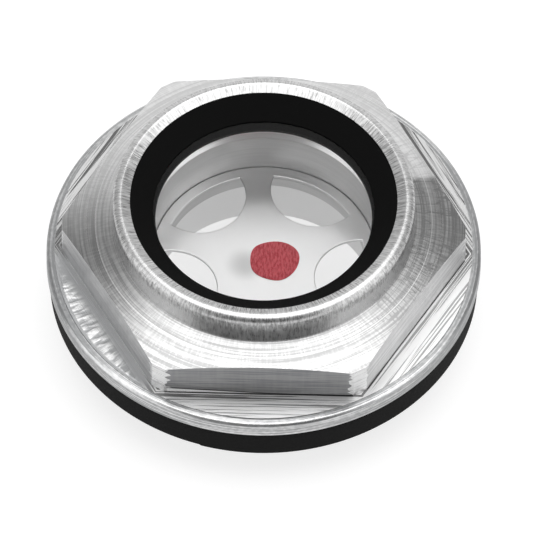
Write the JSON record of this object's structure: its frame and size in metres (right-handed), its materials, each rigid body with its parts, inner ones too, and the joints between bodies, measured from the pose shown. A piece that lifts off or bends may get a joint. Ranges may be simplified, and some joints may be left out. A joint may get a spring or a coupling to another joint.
{
  "type": "tank level gauge",
  "caption": "Screw-in round sight gauge for an oil tank: hexagon flange body, glass pane in a black ring, windowed reflector with a red level dot, rubber gasket.",
  "frame": {"origin": "on the gauge's axis, in the plane of the gasket's lower face, where the tank wall begins", "axes": "+Z along the axis, out of the tank towards the viewer; -Y is square to one flat of the hexagon"},
  "size_m": [0.0366, 0.0364, 0.016],
  "materials": {
    "turned_aluminium": "bright turned and milled",
    "reflector_aluminium": "pale satin sheet",
    "mark_paint": "brushed red paint",
    "seal_rubber": "smooth moulded",
    "pane_glass": "clear polished",
    "clamp_rubber": "smooth moulded",
    "gasket_rubber": "cut from sheet"
  },
  "bodies": {
    "root": {"body": "turned_aluminium", "reflector": "reflector_aluminium", "level_mark": "mark_paint", "seat_seal": "seal_rubber", "glass_pane": "pane_glass", "clamp_ring": "clamp_rubber", "flange_gasket": "gasket_rubber"}
  },
  "joints": []
}
